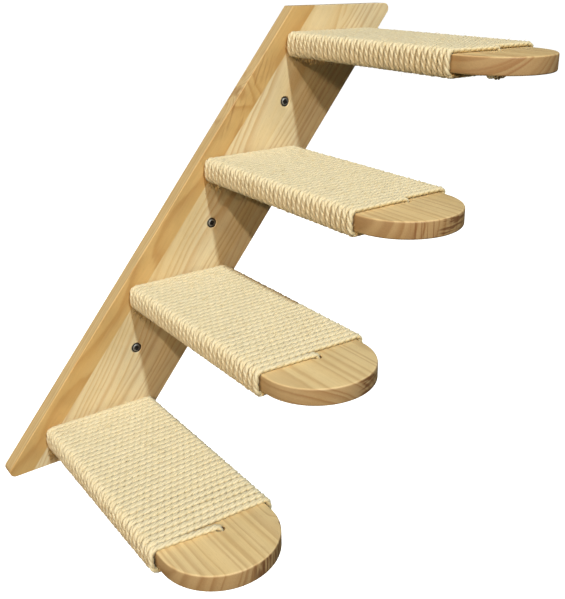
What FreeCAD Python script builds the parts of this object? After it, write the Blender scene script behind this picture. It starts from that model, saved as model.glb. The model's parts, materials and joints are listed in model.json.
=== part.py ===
"""Wall mounted cat tree: four rope-wound treads on a leaning pine back board.

Millimetres. X runs to the right along the wall, Y runs into the wall, Z runs up.
The wall's face is the plane Y = 0. The origin is the axis of the middle wall
screw, at the wall's face.
"""
import FreeCAD, Part
import math
import os

Vec = FreeCAD.Vector

# Back board: a leaning strip of edge-glued pine staves with level ends.
BOARD_HEIGHT = 500.0
BOARD_LEAN = 0.83  # level run for each millimetre of height, to the right
BOARD_THICKNESS = 18.0
BOARD_CORNER_RADIUS = 7.0  # on the two acute corners
BOARD_EDGE_CHAMFER = 0.8
STAVE_WIDTHS = (33.0, 57.0, 48.5, 24.5)  # measured level, from left to right

# Treads: planks with a half-round outer end, screwed on from behind.
TREAD_WIDTH = 120.0
TREAD_REACH = 335.0  # from the board's face to the tip
TREAD_THICKNESS = 18.0
TREAD_EDGE_CHAMFER = 1.8
TREAD_TOP_SHARES = (0.091, 0.384, 0.656, 0.931)  # of the board's height
TREAD_INSETS = (21.5, 17.5, 13.5, 22.5)  # from the board's left edge, at the tread's top

# Rope: one length per tread, wound from the board outwards and knotted below.
FULL_TURNS = 23
WOUND_LENGTH = 266.5  # from the board's face to the last full turn's outer side
ROPE_THICKNESS = 5.4
TURN_GAP = 0.6
ROPE_SEAT_GAP = 0.2
BOARD_GAP = 0.3
ROPE_FLAT_WIDTH = 0.62  # share of the width that lies flat, above and below
ROPE_HOLE_CLEARANCE = 0.25
HOLE_GAP = 0.3  # between the last turn and the rope's hole

# Knot under each tread: the rope drawn up into a bun, with a tail.
KNOT_GAP = 0.3  # between the last turn and the knot
KNOT_CORD = 5.6
KNOT_LOOP_RADIUS = 6.4  # centre line of the loop that makes the bun
KNOT_TAIL_LENGTH = 13.0  # from the loop's centre line
KNOT_TAIL_TURN = 35.0  # degrees from the X axis

# Wall screws: through the board's face into the wall, one between each two treads.
WALL_SCREW_COUNT = 3
WALL_SCREW_FIRST_SHARE = 0.232  # of the board's height
WALL_SCREW_STEP_SHARE = 0.272
WALL_SCREW_INSET = 78.0  # from the board's left edge, measured level
WALL_SCREW_HEAD = 12.0
WALL_SCREW_SHANK = 4.3
WALL_SCREW_THREAD = 6.0
WALL_SCREW_GRIP = 36.0  # full thread behind the wall's face
WALL_SCREW_POINT = 6.0
RECESS_SPAN = 6.2  # cross recess in the head
RECESS_SLOT = 1.2
RECESS_DEPTH = 2.6

# Tread screws: from the board's back into each tread's end.
TREAD_SCREW_SPACING = 70.0
TREAD_SCREW_HEAD = 9.0
TREAD_SCREW_SHANK = 3.2
TREAD_SCREW_THREAD = 4.5
TREAD_SCREW_GRIP = 38.0  # full thread in the tread
TREAD_SCREW_POINT = 4.5

# Both screws.
HEAD_RIM = 0.5  # upright rim of a countersunk head
HEAD_SINK = 0.3  # how deep a head lies below the wood
HEAD_CLEARANCE = 0.15
SHANK_HOLE_CLEARANCE = 0.3
PILOT_CLEARANCE = 0.05
PILOT_EXTRA = 2.0

# Hidden screws and holes, and the knots, are built with this many flat sides.
FLAT_SIDES = 12
POINT_RADIUS = 0.3  # of a hidden screw's blunt tip

BOARD_RUN = BOARD_LEAN * BOARD_HEIGHT
BOARD_WIDTH = sum(STAVE_WIDTHS)
BOARD_FACE = -BOARD_THICKNESS
TREAD_TOPS = tuple(share * BOARD_HEIGHT for share in TREAD_TOP_SHARES)
WALL_SCREW_FIRST = WALL_SCREW_FIRST_SHARE * BOARD_HEIGHT
WALL_SCREW_STEP = WALL_SCREW_STEP_SHARE * BOARD_HEIGHT
TREAD_HALF = TREAD_WIDTH / 2
TURN_FIRST = BOARD_GAP + WOUND_LENGTH / (2 * FULL_TURNS)
TURN_PITCH = (WOUND_LENGTH - TURN_FIRST + TURN_GAP / 2) / FULL_TURNS
ROPE_WIDTH = TURN_PITCH - TURN_GAP
ROPE_RISE = ROPE_SEAT_GAP + ROPE_THICKNESS / 2  # from the wood to the rope's centre line
ROPE_HOLE_RADIUS = ROPE_HOLE_CLEARANCE + ROPE_WIDTH / 2
LAST_TURN_BELOW = TURN_FIRST + FULL_TURNS * TURN_PITCH
HOLE_REACH = LAST_TURN_BELOW + ROPE_WIDTH / 2 + ROPE_HOLE_RADIUS + HOLE_GAP
KNOT_DROP = ROPE_SEAT_GAP + ROPE_THICKNESS + KNOT_GAP  # the knot hangs under the turns
CUT_MARGIN = 1.0  # how far a cutting tool passes the surface it opens


def board_left(height):
    """X of the board's left edge at a height above the bottom end."""
    return BOARD_LEAN * height


def wall_screw_places():
    """Axes of the wall screws, from the bottom, as (x, z)."""
    heights = [WALL_SCREW_FIRST + WALL_SCREW_STEP * i for i in range(WALL_SCREW_COUNT)]
    return [(board_left(h) + WALL_SCREW_INSET, h) for h in heights]


def tread_left(index):
    """X of a tread's left side; treads count from the bottom."""
    return board_left(TREAD_TOPS[index]) + TREAD_INSETS[index]


def tread_screw_places(index):
    """Axes of one tread's two screws, as (x, z)."""
    middle = tread_left(index) + TREAD_HALF
    height = TREAD_TOPS[index] - TREAD_THICKNESS / 2
    return [(middle + side * TREAD_SCREW_SPACING / 2, height) for side in (-1, 1)]


def turned_on_y(profile, x, z):
    """Solid of revolution about a Y axis through (x, z), from (radius, y) points."""
    points = [Vec(x + radius, y, z) for radius, y in profile]
    face = Part.Face(Part.makePolygon(points + points[:1]))
    return face.revolve(Vec(x, 0, z), Vec(0, 1, 0), 360)


def flat_sided_on_y(profile, x, z):
    """Flat-sided solid about a Y axis through (x, z), from (radius, y) points."""
    rings = []
    for radius, y in profile:
        rings.append([Vec(x + radius * a, y, z + radius * b) for a, b in flat_sided_circle()])
    return tube_through(rings)


def flat_sided_circle():
    """Corners of a regular polygon of radius 1."""
    angles = [math.tau * (i + 0.5) / FLAT_SIDES for i in range(FLAT_SIDES)]
    return [(math.cos(angle), math.sin(angle)) for angle in angles]


def screw(head, shank, thread, head_y, root_y, thread_y, into):
    """Profile of a countersunk screw from its head, which points along into."""
    cone_y = head_y + into * HEAD_RIM
    neck_y = cone_y + into * (head - shank) / 2
    return [
        (head / 2, head_y),
        (head / 2, cone_y),
        (shank / 2, neck_y),
        (shank / 2, root_y),
        (thread / 2, root_y),
        (thread / 2, thread_y),
    ]


def cross_recess(head_y, x, z):
    """Crossed slots that are cut into a wall screw's head."""
    y_from = head_y - CUT_MARGIN
    deep = RECESS_DEPTH + CUT_MARGIN
    half_span = RECESS_SPAN / 2
    half_slot = RECESS_SLOT / 2
    upright = Part.makeBox(RECESS_SLOT, deep, RECESS_SPAN, Vec(x - half_slot, y_from, z - half_span))
    level = Part.makeBox(RECESS_SPAN, deep, RECESS_SLOT, Vec(x - half_span, y_from, z - half_slot))
    return upright.fuse(level)


def countersunk_hole(head, thread, face_y, into):
    """Profile of a clearance hole through the board, countersunk at face_y."""
    mouth = head / 2 + HEAD_SINK + HEAD_RIM + HEAD_CLEARANCE
    bore = thread / 2 + SHANK_HOLE_CLEARANCE
    return [
        (mouth + CUT_MARGIN, face_y - into * CUT_MARGIN),
        (bore, face_y + into * (mouth - bore)),
        (bore, face_y + into * (BOARD_THICKNESS + CUT_MARGIN)),
    ]


def closed_on_axis(profile, tip=0.0):
    """The profile with its ends on the axis, the last one tip further on."""
    start = profile[0][1]
    end = profile[-1][1]
    return [(0.0, start)] + profile + [(0.0, end + tip)]


def board_blank():
    """The glued-up board before its screw holes, with eased front edges."""
    corners = [
        Vec(0, 0, 0),
        Vec(BOARD_WIDTH, 0, 0),
        Vec(BOARD_WIDTH + BOARD_RUN, 0, BOARD_HEIGHT),
        Vec(BOARD_RUN, 0, BOARD_HEIGHT),
    ]
    outline = Part.Face(Part.makePolygon(corners + corners[:1]))
    blank = outline.extrude(Vec(0, BOARD_FACE, 0))
    acute = (corners[0], corners[2])
    upright = [edge for edge in blank.Edges if is_beside(edge, acute)]
    blank = blank.makeFillet(BOARD_CORNER_RADIUS, upright)
    front = [edge for edge in blank.Edges if lies_at(edge, "y", BOARD_FACE)]
    return blank.makeChamfer(BOARD_EDGE_CHAMFER, front)


def is_beside(edge, corners):
    """True for an edge along the thickness at one of the given corners."""
    middle = edge.CenterOfMass
    return any(math.hypot(middle.x - c.x, middle.z - c.z) < CUT_MARGIN for c in corners)


def lies_at(edge, axis, value):
    """True for an edge whose ends both lie at the given coordinate."""
    return all(abs(getattr(v.Point, axis) - value) < 1e-6 for v in edge.Vertexes)


def board_staves():
    """The board cut into its staves, with every screw hole."""
    board = board_blank()
    wall_hole = countersunk_hole(WALL_SCREW_HEAD, WALL_SCREW_THREAD, BOARD_FACE, 1)
    for x, z in wall_screw_places():
        board = board.cut(turned_on_y(closed_on_axis(wall_hole), x, z))
    tread_hole = countersunk_hole(TREAD_SCREW_HEAD, TREAD_SCREW_THREAD, 0.0, -1)
    for index in range(len(TREAD_TOPS)):
        for x, z in tread_screw_places(index):
            board = board.cut(flat_sided_on_y(tread_hole, x, z))
    edges = [sum(STAVE_WIDTHS[:i]) for i in range(len(STAVE_WIDTHS) + 1)]
    return [board.common(stave_strip(a, b)) for a, b in zip(edges, edges[1:])]


def stave_strip(from_left, to_left):
    """Leaning strip between two level distances from the board's left edge."""
    corners = [
        Vec(from_left, 0, 0),
        Vec(to_left, 0, 0),
        Vec(to_left + BOARD_RUN, 0, BOARD_HEIGHT),
        Vec(from_left + BOARD_RUN, 0, BOARD_HEIGHT),
    ]
    face = Part.Face(Part.makePolygon(corners + corners[:1]))
    return face.extrude(Vec(0, BOARD_FACE, 0))


def tread_board(index):
    """A tread's plank, with its rope hole and the pilot holes in its wall end."""
    left = tread_left(index)
    right = left + TREAD_WIDTH
    top = TREAD_TOPS[index]
    shoulder = BOARD_FACE - TREAD_REACH + TREAD_HALF
    near_left = Vec(left, BOARD_FACE, top)
    far_left = Vec(left, shoulder, top)
    tip = Vec(left + TREAD_HALF, BOARD_FACE - TREAD_REACH, top)
    far_right = Vec(right, shoulder, top)
    near_right = Vec(right, BOARD_FACE, top)
    outline = Part.Wire([
        Part.LineSegment(near_left, far_left).toShape(),
        Part.Arc(far_left, tip, far_right).toShape(),
        Part.LineSegment(far_right, near_right).toShape(),
        Part.LineSegment(near_right, near_left).toShape(),
    ])
    plank = Part.Face(outline).extrude(Vec(0, 0, -TREAD_THICKNESS))
    plank = plank.makeChamfer(TREAD_EDGE_CHAMFER, eased_edges(plank, top))
    plank = plank.cut(rope_hole(index))
    depth = TREAD_SCREW_GRIP + TREAD_SCREW_POINT + PILOT_EXTRA
    radius = TREAD_SCREW_THREAD / 2 + PILOT_CLEARANCE
    pilot = [(radius, BOARD_FACE + CUT_MARGIN), (radius, BOARD_FACE - depth)]
    for x, z in tread_screw_places(index):
        plank = plank.cut(flat_sided_on_y(pilot, x, z))
    return plank


def eased_edges(plank, top):
    """The plank's upper and lower edges, apart from those against the board."""
    faces = (top, top - TREAD_THICKNESS)
    level = [e for e in plank.Edges if any(lies_at(e, "z", z) for z in faces)]
    return [e for e in level if not lies_at(e, "y", BOARD_FACE)]


def rope_hole(index):
    """Upright hole on the tread's centre line, beyond the last full turn."""
    start = Vec(
        tread_left(index) + TREAD_HALF,
        BOARD_FACE - HOLE_REACH,
        TREAD_TOPS[index] - TREAD_THICKNESS - CUT_MARGIN,
    )
    return Part.makeCylinder(ROPE_HOLE_RADIUS, TREAD_THICKNESS + 2 * CUT_MARGIN, start)


def rope_route():
    """Centre line of one winding, as corner points about the tread's centre.

    X is from the tread's centre line, Y from the board's face and Z from the
    plank's middle. Every bend is two corners of 45 degrees. The long runs lean
    outwards and the short side runs lean back at the same rate, which keeps
    the flattened section from twisting as it goes round.
    """
    across = TREAD_HALF + ROPE_RISE
    upright = TREAD_THICKNESS / 2 + ROPE_RISE
    bend = TREAD_EDGE_CHAMFER + ROPE_RISE * (2 - math.sqrt(2))
    lean = TURN_PITCH / (4 * (across - upright))
    long_run = across - bend
    short_run = upright - bend
    points = [Vec(0, -TURN_FIRST, -upright)]
    reach = TURN_FIRST

    def advance(distance, corners):
        nonlocal reach
        reach += lean * distance
        for x, z in corners:
            points.append(Vec(x, -reach, z))

    advance(long_run, [(-long_run, -upright), (-across, -short_run)])
    for turn in range(FULL_TURNS + 1):
        advance(-2 * short_run, [(-across, short_run), (-long_run, upright)])
        if turn == FULL_TURNS:
            break
        advance(2 * long_run, [(long_run, upright), (across, short_run)])
        advance(-2 * short_run, [(across, -short_run), (long_run, -upright)])
        advance(2 * long_run, [(-long_run, -upright), (-across, -short_run)])
    hole = -HOLE_REACH
    dip = upright - ROPE_RISE
    below = -TREAD_THICKNESS / 2 - KNOT_DROP
    points += [Vec(-ROPE_RISE, hole, upright), Vec(0, hole, dip), Vec(0, hole, below)]
    return points


def rope_section():
    """Flattened hexagon of the rope, as (along the tread, away from the wood)."""
    half_width = ROPE_WIDTH / 2
    half_thick = ROPE_THICKNESS / 2
    flat = half_width * ROPE_FLAT_WIDTH
    upper = [(half_width, 0.0), (flat, half_thick), (-flat, half_thick)]
    return upper + [(-x, -z) for x, z in upper]


def rope_rings(route):
    """The section carried along the route, mitred at each corner."""
    first = (route[1] - route[0]).normalize()
    along = Vec(0, -1, 0)
    along = (along - first * along.dot(first)).normalize()
    away = Vec(0, 0, -1)
    rings = [[route[0] + along * a + away * b for a, b in rope_section()]]
    for i in range(1, len(route)):
        run = (route[i] - route[i - 1]).normalize()
        onward = (route[min(i + 1, len(route) - 1)] - route[i])
        onward = onward.normalize() if onward.Length > 0 else run
        mitre = run + onward
        rings.append([
            p + run * ((route[i] - p).dot(mitre) / run.dot(mitre)) for p in rings[-1]
        ])
    return rings


def tube_through(rings):
    """Closed solid with flat sides between successive rings of points."""
    faces = [Part.Face(Part.makePolygon(r + r[:1])) for r in (rings[0], rings[-1])]
    for ring, following in zip(rings, rings[1:]):
        sides = zip(ring, ring[1:] + ring[:1], following[1:] + following[:1], following)
        for a, b, c, d in sides:
            faces.append(Part.Face(Part.makePolygon([a, b, c, d, a])))
    return Part.makeSolid(Part.makeShell(faces))


def least_gap(rings):
    """Least distance between the rope and its own next turn, on points."""
    steps = 4
    samples = []
    for ring, following in zip(rings, rings[1:]):
        for step in range(steps):
            share = step / steps
            samples.append([a + (b - a) * share for a, b in zip(ring, following)])
    turn = 8 * steps
    gap = TREAD_REACH
    for i, sample in enumerate(samples):
        for other in samples[i + turn - steps:i + turn + steps + 1]:
            gap = min(gap, min(a.distanceToPoint(b) for a in sample for b in other))
    return gap


def knot():
    """The rope drawn up into a bun below the hole, with its tail, from the wood down."""
    radius = KNOT_CORD / 2
    middle = -KNOT_DROP - radius
    bun = []
    for degrees in (90, 45, 0, -45, -90):
        out = KNOT_LOOP_RADIUS + radius * math.cos(math.radians(degrees))
        z = middle + radius * math.sin(math.radians(degrees))
        bun.append([Vec(out * a, out * b, z) for a, b in flat_sided_circle()])
    tail = []
    for x in (0.0, KNOT_LOOP_RADIUS + KNOT_TAIL_LENGTH):
        tail.append([Vec(x, radius * a, middle - radius + radius * b) for a, b in flat_sided_circle()])
    body = tube_through(bun).fuse(tube_through(tail))
    return body.rotate(Vec(0, 0, 0), Vec(0, 0, 1), KNOT_TAIL_TURN)


def wall_screws():
    """The three wall screws, as separate solids of one group."""
    head_y = BOARD_FACE + HEAD_SINK
    profile = screw(
        WALL_SCREW_HEAD, WALL_SCREW_SHANK, WALL_SCREW_THREAD,
        head_y, 0.0, WALL_SCREW_GRIP, 1,
    )
    profile = closed_on_axis(profile, WALL_SCREW_POINT)
    solids = []
    for x, z in wall_screw_places():
        solid = turned_on_y(profile, x, z)
        solids.append(solid.cut(cross_recess(head_y, x, z)))
    return Part.makeCompound(solids)


def tread_screws(index):
    """One tread's two screws, as separate solids of one group."""
    head_y = -HEAD_SINK
    thread_end = BOARD_FACE - TREAD_SCREW_GRIP
    profile = screw(
        TREAD_SCREW_HEAD, TREAD_SCREW_SHANK, TREAD_SCREW_THREAD,
        head_y, BOARD_FACE, thread_end, -1,
    )
    profile.append((POINT_RADIUS, thread_end - TREAD_SCREW_POINT))
    places = tread_screw_places(index)
    return Part.makeCompound([flat_sided_on_y(profile, x, z) for x, z in places])


def build():
    """Every piece by its node name, about the board's lower left corner."""
    nodes = {}
    for number, stave in enumerate(board_staves(), 1):
        nodes[f"backboard_stave_{number}"] = stave
    rings = rope_rings(rope_route())
    winding = tube_through(rings)
    print(f"rope: {FULL_TURNS} full turns, least gap to itself {least_gap(rings):.2f} mm")
    for index, top in enumerate(TREAD_TOPS):
        number = index + 1
        middle = tread_left(index) + TREAD_HALF
        plank_centre = Vec(middle, BOARD_FACE, top - TREAD_THICKNESS / 2)
        below_hole = Vec(middle, BOARD_FACE - HOLE_REACH, top - TREAD_THICKNESS)
        nodes[f"tread_{number}_board"] = tread_board(index)
        nodes[f"tread_{number}_rope"] = winding.translated(plank_centre)
        nodes[f"tread_{number}_knot"] = knot().translated(below_hole)
        nodes[f"tread_{number}_screws"] = tread_screws(index)
    nodes["wall_screws"] = wall_screws()
    return nodes


def main():
    """Write one STEP file per node, about the middle wall screw."""
    os.makedirs("parts", exist_ok=True)
    x, z = wall_screw_places()[WALL_SCREW_COUNT // 2]
    for name, shape in build().items():
        shape.translated(Vec(-x, 0, -z)).exportStep(f"parts/{name}.step")
        print(f"{name}: {len(shape.Solids)} solids, valid {shape.isValid()}, {shape.Volume:.0f} mm3")


main()
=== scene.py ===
"""Wall mounted cat tree, dressed: pine back board, four treads wound with sisal rope.

Metres, in the same frame as the CAD model: X to the right along the wall, Y into
the wall, Z up, and the origin on the middle wall screw at the wall's face.
"""

import json
import logging
import math
from dataclasses import dataclass
from enum import Enum
from typing import Any, Iterable, Sequence

import bmesh
import bpy
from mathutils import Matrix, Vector, noise

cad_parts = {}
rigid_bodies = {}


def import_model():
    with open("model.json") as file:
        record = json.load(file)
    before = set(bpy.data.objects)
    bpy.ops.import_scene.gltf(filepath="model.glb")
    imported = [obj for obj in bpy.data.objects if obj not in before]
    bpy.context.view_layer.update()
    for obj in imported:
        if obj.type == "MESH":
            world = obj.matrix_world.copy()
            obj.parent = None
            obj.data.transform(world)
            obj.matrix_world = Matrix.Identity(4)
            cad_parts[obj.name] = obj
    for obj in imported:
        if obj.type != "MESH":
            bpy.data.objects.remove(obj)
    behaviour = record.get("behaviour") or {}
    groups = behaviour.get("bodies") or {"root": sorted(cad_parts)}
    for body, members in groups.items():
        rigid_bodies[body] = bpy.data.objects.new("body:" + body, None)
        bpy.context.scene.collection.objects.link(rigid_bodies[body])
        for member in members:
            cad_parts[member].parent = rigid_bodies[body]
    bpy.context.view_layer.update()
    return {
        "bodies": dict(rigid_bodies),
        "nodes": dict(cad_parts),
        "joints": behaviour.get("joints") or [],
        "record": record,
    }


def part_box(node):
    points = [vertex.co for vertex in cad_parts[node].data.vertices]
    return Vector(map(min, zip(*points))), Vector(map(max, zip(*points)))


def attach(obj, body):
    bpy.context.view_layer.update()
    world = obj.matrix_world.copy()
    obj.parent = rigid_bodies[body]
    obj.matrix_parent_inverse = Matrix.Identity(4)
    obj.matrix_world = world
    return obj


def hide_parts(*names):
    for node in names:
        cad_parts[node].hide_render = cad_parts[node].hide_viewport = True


LOG = logging.getLogger("cat_tree")
MM = 0.001
LEAN = 0.83  # how far the board goes right for each length that it goes up
PHOTO_SIZE = (565, 599)
Triple = tuple[float, float, float]
Quad = tuple[float, float, float, float]
Colour = Triple


def srgb(red: int, green: int, blue: int) -> Colour:
    """Turn an 8-bit display colour into linear light."""
    levels = [value / 255 for value in (red, green, blue)]
    return tuple(v / 12.92 if v <= 0.04045 else ((v + 0.055) / 1.055) ** 2.4 for v in levels)


class Graph:
    """Adds nodes to one node tree and joins them."""

    def __init__(self, tree: bpy.types.NodeTree) -> None:
        """Work on the given tree."""
        self.tree = tree

    def add(self, kind: str, feeds: dict[Any, Any] | None = None, **settings: Any) -> Any:
        """Add a node.

        Args:
            kind: The node's type name.
            feeds: Values or sockets by input name or number.
            settings: The node's own settings.

        Returns:
            The new node.
        """
        node = self.tree.nodes.new(kind)
        for name, value in settings.items():
            setattr(node, name, value)
        for key, value in (feeds or {}).items():
            self.feed(node.inputs[key], value)
        return node

    def feed(self, socket: bpy.types.NodeSocket, value: Any) -> None:
        """Give an input a value, or join a socket to it."""
        if isinstance(value, bpy.types.NodeSocket):
            self.tree.links.new(value, socket)
        else:
            socket.default_value = value

    def math(self, operation: str, *values: Any) -> Any:
        """Add a Math node and return its result."""
        node = self.add("ShaderNodeMath", dict(enumerate(values)), operation=operation)
        return node.outputs[0]

    def times(self, first: Any, second: Any) -> Any:
        """Return the product of two numbers."""
        return self.math("MULTIPLY", first, second)

    def plus(self, first: Any, second: Any) -> Any:
        """Return the sum of two numbers."""
        return self.math("ADD", first, second)

    def minus(self, first: Any, second: Any) -> Any:
        """Return the first number less the second."""
        return self.math("SUBTRACT", first, second)

    def over(self, first: Any, second: Any) -> Any:
        """Return the first number divided by the second."""
        return self.math("DIVIDE", first, second)

    def vector(self, operation: str, *values: Any) -> Any:
        """Add a Vector Math node and return its vector."""
        node = self.add("ShaderNodeVectorMath", dict(enumerate(values)), operation=operation)
        return node.outputs[0]

    def scaled(self, vector: Any, factor: Any) -> Any:
        """Return the vector times a number."""
        feeds = {"Vector": vector, "Scale": factor}
        return self.add("ShaderNodeVectorMath", feeds, operation="SCALE").outputs[0]

    def measured(self, operation: str, *values: Any) -> Any:
        """Add a Vector Math node and return its number."""
        node = self.add("ShaderNodeVectorMath", dict(enumerate(values)), operation=operation)
        return node.outputs[1]

    def joined(self, x: Any, y: Any, z: Any) -> Any:
        """Return a vector made of three numbers."""
        return self.add("ShaderNodeCombineXYZ", {0: x, 1: y, 2: z}).outputs[0]

    def noise(self, place: Any, scale: float = 1.0, detail: float = 2.0, rough: float = 0.5) -> Any:
        """Add a Noise Texture and return the node."""
        feeds = {"Vector": place, "Scale": scale, "Detail": detail, "Roughness": rough}
        return self.add("ShaderNodeTexNoise", feeds)

    def ranged(self, value: Any, low: Any, high: Any, to_low: Any, to_high: Any, ease: bool = True) -> Any:
        """Map a number from one range to another, held at the ends."""
        kind = "SMOOTHSTEP" if ease else "LINEAR"
        feeds = {0: value, 1: low, 2: high, 3: to_low, 4: to_high}
        return self.add("ShaderNodeMapRange", feeds, interpolation_type=kind).outputs[0]

    def ramp(self, value: Any, stops: Sequence[tuple[float, float]]) -> Any:
        """Return a grey Color Ramp through (place, level) stops."""
        node = self.add("ShaderNodeValToRGB", {0: value})
        points = node.color_ramp.elements
        while len(points) < len(stops):
            points.new(0.5)
        for point, (place, level) in zip(points, stops):
            point.position = place
            point.color = (level, level, level, 1.0)
        return node.outputs[0]

    def blend(self, factor: Any, first: Any, second: Any, mode: str = "MIX") -> Any:
        """Mix two colours by a factor."""
        node = self.add("ShaderNodeMix", {0: factor}, data_type="RGBA", blend_type=mode)
        for place, colour in ((6, first), (7, second)):
            value = colour if isinstance(colour, bpy.types.NodeSocket) else (*colour, 1.0)
            self.feed(node.inputs[place], value)
        return node.outputs[2]

    def turned(self, place: Any, axis: str, angle: Any) -> Any:
        """Turn a vector about one axis."""
        feeds = {"Vector": place, "Angle": angle}
        return self.add("ShaderNodeVectorRotate", feeds, rotation_type=axis).outputs[0]

    def own_place(self) -> Any:
        """Return the piece's own coordinates in millimetres."""
        return self.scaled(self.add("ShaderNodeTexCoord").outputs["Object"], 1 / MM)

    def group(self, tree: bpy.types.NodeTree, **feeds: Any) -> Any:
        """Place a shader group and return its outputs; an underscore stands for a space."""
        named = {name.replace("_", " "): value for name, value in feeds.items()}
        return self.add("ShaderNodeGroup", named, node_tree=tree).outputs

    def stored(self, geometry: Any, name: str, value: Any, kind: str = "FLOAT") -> Any:
        """Keep a value under a name on a geometry's points."""
        feeds = {"Geometry": geometry, "Name": name, "Value": value}
        return self.add("GeometryNodeStoreNamedAttribute", feeds, data_type=kind, domain="POINT").outputs[0]

    def delivered(self, geometry: Any, finish: Any, out: Any) -> None:
        """Send a geometry out of its tree as plain mesh with its material."""
        plain = self.add("GeometryNodeRealizeInstances", {"Geometry": geometry}).outputs[0]
        feeds = {"Geometry": plain, "Material": finish}
        self.feed(out, self.add("GeometryNodeSetMaterial", feeds).outputs[0])


@dataclass(frozen=True)
class Port:
    """One named input or output of a node group."""

    name: str
    kind: str
    value: Any = None
    out: bool = False


def open_group(name: str, family: str, ports: Iterable[Port]) -> tuple[Graph, Any, Any]:
    """Start a node group with its ports.

    Args:
        name: The group's name.
        family: GeometryNodeTree or ShaderNodeTree.
        ports: Its inputs and outputs.

    Returns:
        The graph, its input node and its output node.
    """
    tree = bpy.data.node_groups.new(name, family)
    for port in ports:
        way = "OUTPUT" if port.out else "INPUT"
        socket = tree.interface.new_socket(port.name, in_out=way, socket_type=f"NodeSocket{port.kind}")
        if port.value is not None:
            socket.default_value = port.value
    graph = Graph(tree)
    return graph, graph.add("NodeGroupInput").outputs, graph.add("NodeGroupOutput").inputs


class Bench:
    """Turns node trees and drawn points into finished pieces."""

    @staticmethod
    def holder(name: str, *lines: Sequence[Vector]) -> bpy.types.Object:
        """Make a bare mesh object of lines, each a chain of edges or one loose point."""
        points: list[Vector] = []
        edges: list[tuple[int, int]] = []
        for line in lines:
            first = len(points)
            points += line
            edges += [(i, i + 1) for i in range(first, len(points) - 1)]
        mesh = bpy.data.meshes.new(name)
        mesh.from_pydata(points, edges, [])
        return Bench.placed(name, mesh)

    @staticmethod
    def placed(name: str, mesh: bpy.types.Mesh) -> bpy.types.Object:
        """Put a mesh into the scene as an object at the origin."""
        piece = bpy.data.objects.new(name, mesh)
        bpy.context.scene.collection.objects.link(piece)
        return piece

    @staticmethod
    def drawn(name: str, shape: bmesh.types.BMesh) -> bpy.types.Object:
        """Make an object of a drawn shape, and free the shape."""
        mesh = bpy.data.meshes.new(name)
        shape.to_mesh(mesh)
        shape.free()
        return Bench.placed(name, mesh)

    @staticmethod
    def grown(base: bpy.types.Object, tree: bpy.types.NodeTree, values: dict[str, Any]) -> bpy.types.Object:
        """Run a geometry tree on an object and keep the plain mesh.

        Args:
            base: The object whose mesh the tree starts from.
            tree: The geometry node tree.
            values: The tree's inputs by name.

        Returns:
            The same object with the tree's result as its mesh.
        """
        modifier = base.modifiers.new("shape", "NODES")
        modifier.node_group = tree
        sockets = {item.name: item.identifier for item in tree.interface.items_tree if item.in_out == "INPUT"}
        for name, value in values.items():
            modifier[sockets[name]] = value
        return Bench.settled(base)

    @staticmethod
    def settled(base: bpy.types.Object) -> bpy.types.Object:
        """Replace an object's mesh by its evaluated mesh and drop its modifiers."""
        bpy.context.view_layer.update()
        graph = bpy.context.evaluated_depsgraph_get()
        mesh = bpy.data.meshes.new_from_object(
            base.evaluated_get(graph), preserve_all_data_layers=True, depsgraph=graph
        )
        mesh.name = base.name
        base.modifiers.clear()
        old = base.data
        base.data = mesh
        bpy.data.meshes.remove(old)
        return base

    @staticmethod
    def finished(piece: bpy.types.Object, slot: str, *nodes: str) -> bpy.types.Object:
        """Hang a piece on the body and hide the CAD nodes it stands for."""
        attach(piece, "root")
        if nodes:
            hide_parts(*nodes)
        LOG.info("%s: %d faces", piece.name, len(piece.data.polygons))
        return piece


class Stuff(Enum):
    """Material slots of the pieces made here."""

    TREAD = "tread_pine"
    ROPE = "sisal_rope"
    ZINC = "zinc_steel"
    BLACK = "black_steel"


# ---------------------------------------------------------------- shader groups


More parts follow.
